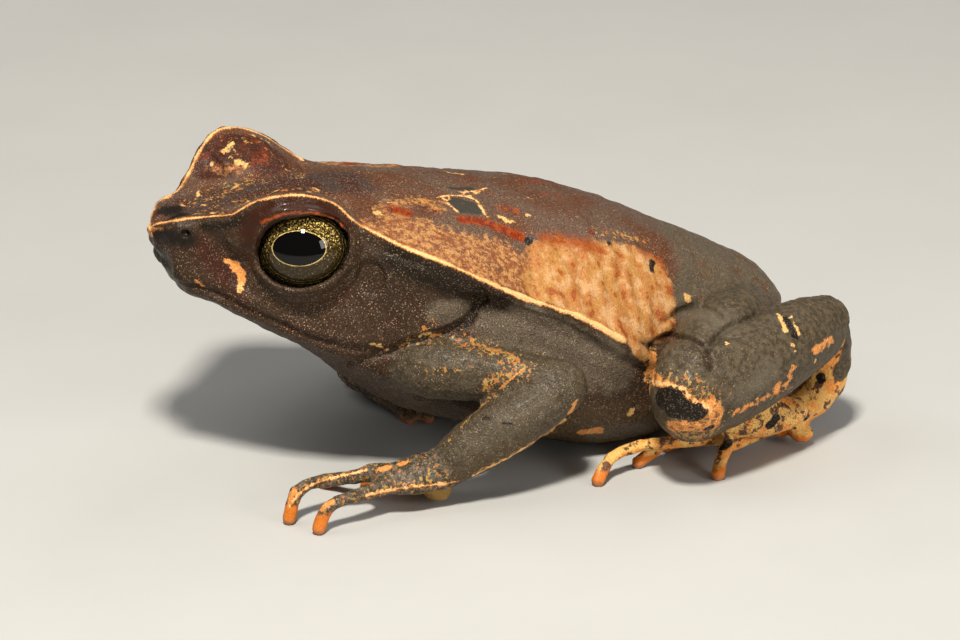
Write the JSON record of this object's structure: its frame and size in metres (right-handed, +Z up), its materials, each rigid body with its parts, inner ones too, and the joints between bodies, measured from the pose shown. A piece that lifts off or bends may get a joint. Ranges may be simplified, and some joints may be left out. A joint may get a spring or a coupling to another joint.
{
  "type": "leaf litter toad",
  "caption": "Life-size still model of a crouching leaf litter toad with a cream line along each side, dark flanks and folded hind legs.",
  "frame": {"origin": "centre of the bounding box in plan, at the floor", "axes": "+Z up, the head faces -Y, the toad's left side is +X"},
  "size_m": [0.0478, 0.0608, 0.0282],
  "materials": {
    "skin_dark": "satin, finely granular skin",
    "skin_back": "satin, finely granular skin",
    "skin_limb": "satin, finely granular skin",
    "skin_foot": "satin, smooth on the tips",
    "eye": "glossy, clear surface"
  },
  "bodies": {
    "root": {"head": "skin_dark", "lower_jaw": "skin_dark", "torso": "skin_back", "upper_arm_l": "skin_limb", "forearm_l": "skin_limb", "thigh_l": "skin_limb", "shank_l": "skin_limb", "upper_arm_r": "skin_limb", "forearm_r": "skin_limb", "thigh_r": "skin_limb", "shank_r": "skin_limb", "hand_l": "skin_foot", "tarsus_l": "skin_foot", "foot_l": "skin_foot", "hand_r": "skin_foot", "tarsus_r": "skin_foot", "foot_r": "skin_foot", "eye_l": "eye", "eye_r": "eye"}
  },
  "joints": []
}
